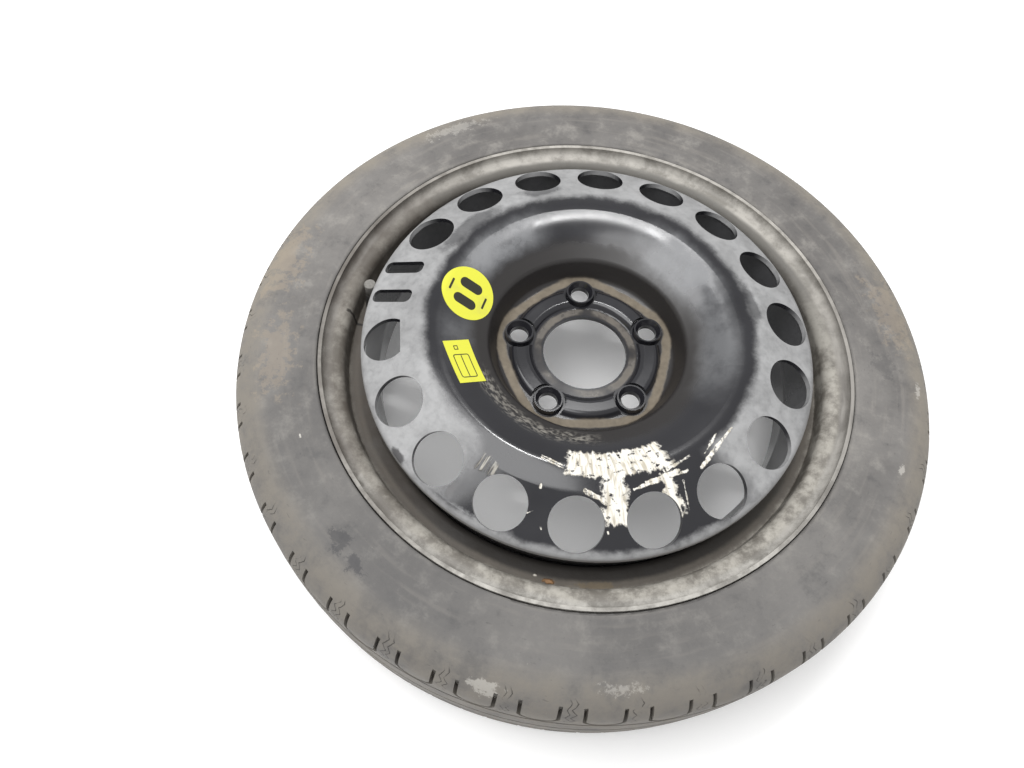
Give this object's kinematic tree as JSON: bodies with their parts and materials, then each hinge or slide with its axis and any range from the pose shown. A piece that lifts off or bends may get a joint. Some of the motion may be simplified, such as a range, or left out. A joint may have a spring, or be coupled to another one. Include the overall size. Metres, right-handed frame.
{
  "type": "spare wheel",
  "caption": "Temporary spare wheel: narrow tyre on a steel rim, pressed black disc with vent holes and bolt bosses, rubber valve with cap.",
  "frame": {"origin": "centre of the bore in the hub mounting face", "axes": "+Z along the wheel axis out of the outer face, -X towards the valve; the wheel lies outer face up"},
  "size_m": [0.5788, 0.5788, 0.151],
  "materials": {
    "tyre_rubber": "worn matt",
    "rim_steel": "dusty satin",
    "disc_steel": "gloss, dusty",
    "weld_steel": "rough",
    "valve_rubber": "matt",
    "brass": "satin",
    "seal_plastic": "matt",
    "spring_steel": "satin",
    "cap_plastic": "dusty",
    "yellow_film": "film"
  },
  "bodies": {
    "wheel": {"tyre": "tyre_rubber", "rim": "rim_steel", "wheel_disc": "disc_steel", "disc_welds": "weld_steel", "valve_body": "valve_rubber", "valve_stem": "brass", "valve_core": "brass", "core_gasket": "seal_plastic", "core_spring": "spring_steel", "round_sticker": "yellow_film", "plain_label": "yellow_film"},
    "cap": {"valve_cap": "cap_plastic"},
    "pin": {"core_pin": "brass", "core_seal": "valve_rubber"}
  },
  "joints": [
    {"name": "cap_off", "type": "slide", "parent": "wheel", "child": "cap", "axis": [0, 0, 1], "range_m": [0, 0.045]},
    {"name": "pin_press", "type": "slide", "parent": "wheel", "child": "pin", "axis": [0, 0, -1], "range_m": [0, 0.0015], "stiffness_N_per_m": 800, "springref_m": -0.002, "deforming": ["core_spring"]}
  ]
}
